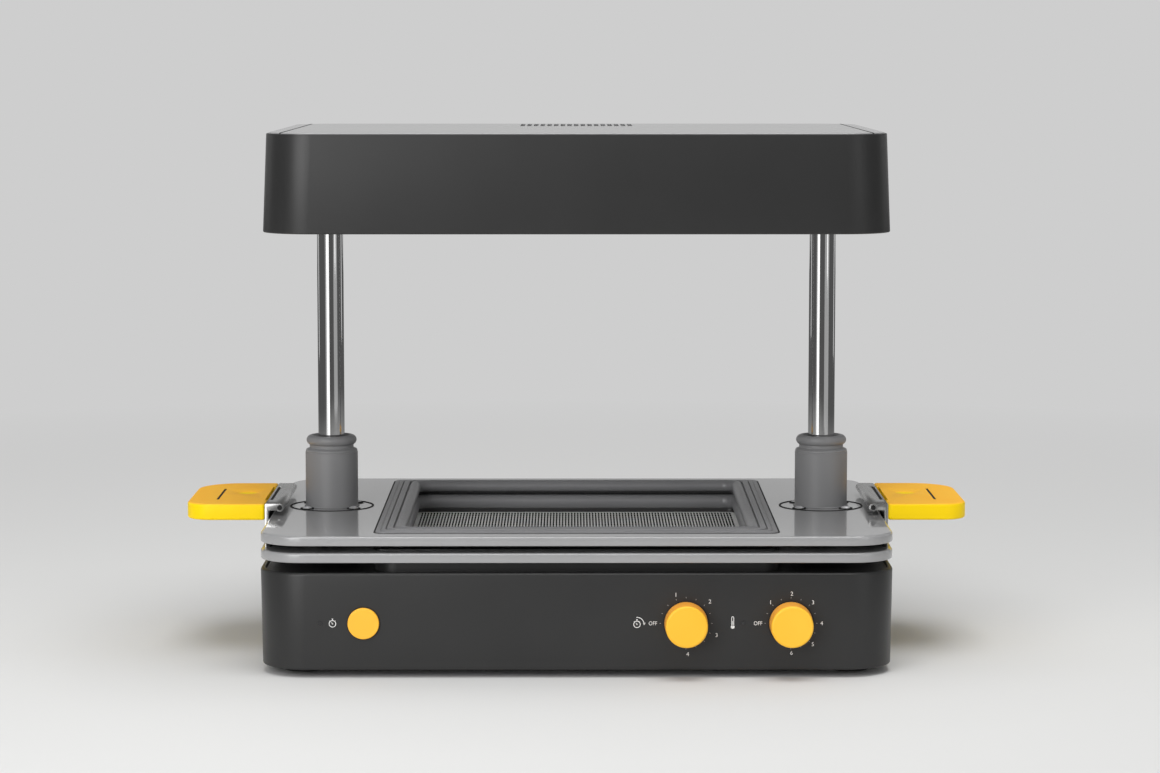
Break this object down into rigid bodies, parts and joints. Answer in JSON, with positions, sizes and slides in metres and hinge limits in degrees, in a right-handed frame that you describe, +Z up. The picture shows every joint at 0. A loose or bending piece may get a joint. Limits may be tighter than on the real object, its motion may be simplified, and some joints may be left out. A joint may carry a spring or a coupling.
{
  "type": "hobby vacuum forming machine",
  "caption": "Table-top vacuum former: base with perforated bed and controls, columns carrying a heater box, sliding clamp trays with latches and handles.",
  "frame": {"origin": "bottom centre of the bounding box, on the table; the casing's middle lies 7 mm behind it", "axes": "+X to the right seen from the front, +Y from the front to the back, +Z up"},
  "size_m": [0.47, 0.274, 0.3136],
  "materials": {
    "casing": "moulded dark grey plastic, satin",
    "steel_sheet": "powder coated steel sheet",
    "rubber": "moulded black rubber",
    "screws": "turned steel",
    "bed_steel": "perforated steel sheet",
    "black_plastic": "moulded black plastic",
    "brass": "plated brass",
    "circuit_board": "green circuit board",
    "yellow": "moulded yellow plastic, satin",
    "polished_steel": "polished steel",
    "window": "dark clear plastic",
    "wire": "silicone insulated wire",
    "tray": "painted light grey, satin",
    "silicone": "moulded grey silicone",
    "collar": "moulded mid grey plastic",
    "bush": "turned bearing plastic",
    "clip_steel": "rolled steel sheet",
    "reflector": "bright aluminium sheet",
    "ceramic": "ceramic and quartz",
    "insulation": "mineral fibre board"
  },
  "bodies": {
    "root": {"base_shell": "casing", "base_deck": "casing", "bed_surround": "casing", "heater_cover": "casing", "vacuum_plenum": "casing", "air_duct": "casing", "bottom_plate": "steel_sheet", "heater_base": "steel_sheet", "heater_frame": "steel_sheet", "guard_grille": "steel_sheet", "column_sockets": "steel_sheet", "feet": "rubber", "case_screws": "screws", "frame_spacers": "screws", "column_fixings": "screws", "bed_plate": "bed_steel", "hose_port": "black_plastic", "mains_inlet": "black_plastic", "rocker_frame": "black_plastic", "timer_switch": "black_plastic", "heater_regulator": "black_plastic", "start_switch": "black_plastic", "collar_catches": "black_plastic", "inlet_pins": "brass", "control_board": "circuit_board", "power_board": "circuit_board", "column_left": "polished_steel", "column_right": "polished_steel", "indicator_windows": "window", "base_wiring": "wire", "heater_lead": "wire", "heater_lid": "tray", "reflector": "reflector", "heating_tubes": "ceramic", "tube_holders": "ceramic", "heater_terminals": "ceramic", "insulation": "insulation"},
    "lower_carriage": {"lower_tray": "tray", "lower_gasket": "silicone", "guide_sleeves": "collar", "guide_bushes": "bush", "hinge_brackets": "clip_steel", "hinge_pins": "polished_steel", "tray_screws": "screws"},
    "upper_carriage": {"upper_tray": "tray", "upper_gasket": "silicone", "collar_left": "collar", "collar_right": "collar", "collar_bushes": "bush", "collar_screws": "screws"},
    "latch_left": {"latch_clip_left": "clip_steel", "handle_left": "yellow"},
    "latch_right": {"latch_clip_right": "clip_steel", "handle_right": "yellow"},
    "start_button": {"start_button": "yellow"},
    "timer_dial": {"timer_knob": "yellow", "timer_spindle": "polished_steel"},
    "heater_dial": {"heater_knob": "yellow", "heater_spindle": "polished_steel"},
    "power_rocker": {"power_rocker": "black_plastic"}
  },
  "joints": [
    {"name": "carriage_slide", "type": "slide", "parent": "root", "child": "lower_carriage", "axis": [0, 0, 1], "range_m": [0, 0.144]},
    {"name": "tray_lift", "type": "slide", "parent": "lower_carriage", "child": "upper_carriage", "axis": [0, 0, 1], "range_m": [0, 0.016]},
    {"name": "latch_left_swing", "type": "hinge", "parent": "lower_carriage", "child": "latch_left", "pos_m": [-0.18585, 0.0105, 0.0641], "axis": [0, -1, 0], "range_deg": [0, 90]},
    {"name": "latch_right_swing", "type": "hinge", "parent": "lower_carriage", "child": "latch_right", "pos_m": [0.18585, 0.0105, 0.0641], "axis": [0, 1, 0], "range_deg": [0, 90]},
    {"name": "start_press", "type": "slide", "parent": "root", "child": "start_button", "axis": [0, 1, 0], "range_m": [0, 0.002], "stiffness_N_per_m": 300},
    {"name": "timer_turn", "type": "hinge", "parent": "root", "child": "timer_dial", "pos_m": [0.063, -0.123, 0.032], "axis": [0, 1, 0], "range_deg": [0, 270]},
    {"name": "heater_turn", "type": "hinge", "parent": "root", "child": "heater_dial", "pos_m": [0.1235, -0.123, 0.032], "axis": [0, 1, 0], "range_deg": [0, 270]},
    {"name": "rocker_tip", "type": "hinge", "parent": "root", "child": "power_rocker", "pos_m": [0.076, 0.128, 0.032], "axis": [1, 0, 0], "range_deg": [0, 14]}
  ],
  "couplings": [
    {"joint": "latch_left_swing", "follows": "tray_lift", "rad_per_m": 98.17},
    {"joint": "latch_right_swing", "follows": "tray_lift", "rad_per_m": 98.17}
  ]
}
